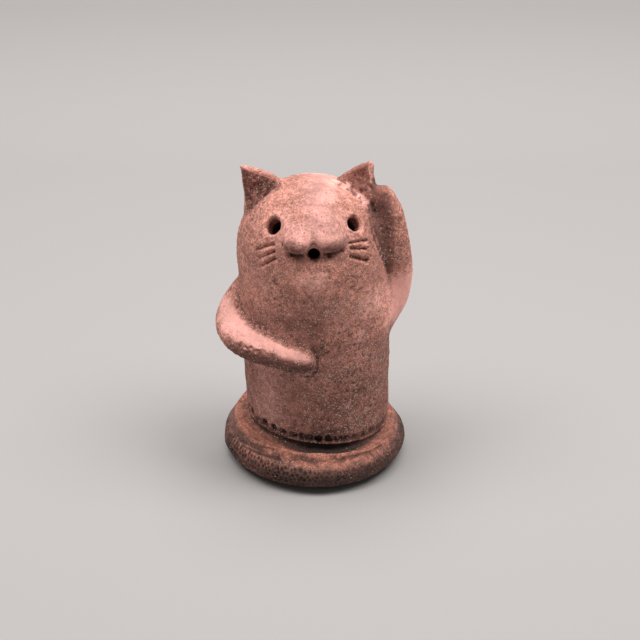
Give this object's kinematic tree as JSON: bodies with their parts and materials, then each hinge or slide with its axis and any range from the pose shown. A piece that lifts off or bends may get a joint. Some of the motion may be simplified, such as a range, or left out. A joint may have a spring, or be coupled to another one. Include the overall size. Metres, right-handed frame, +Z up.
{
  "type": "clay cat figurine in haniwa style",
  "caption": "Hand-built unglazed clay cat, one arm raised and one across its belly, on a round stepped base.",
  "frame": {"origin": "middle of the underside of the round base", "axes": "+Z up through the figure, the cat looks along -Y, its raised arm is on the +X side"},
  "size_m": [0.0522, 0.0488, 0.0846],
  "materials": {
    "terracotta": "unglazed, sandy"
  },
  "bodies": {
    "root": {"haniwa_cat": "terracotta"}
  },
  "joints": []
}
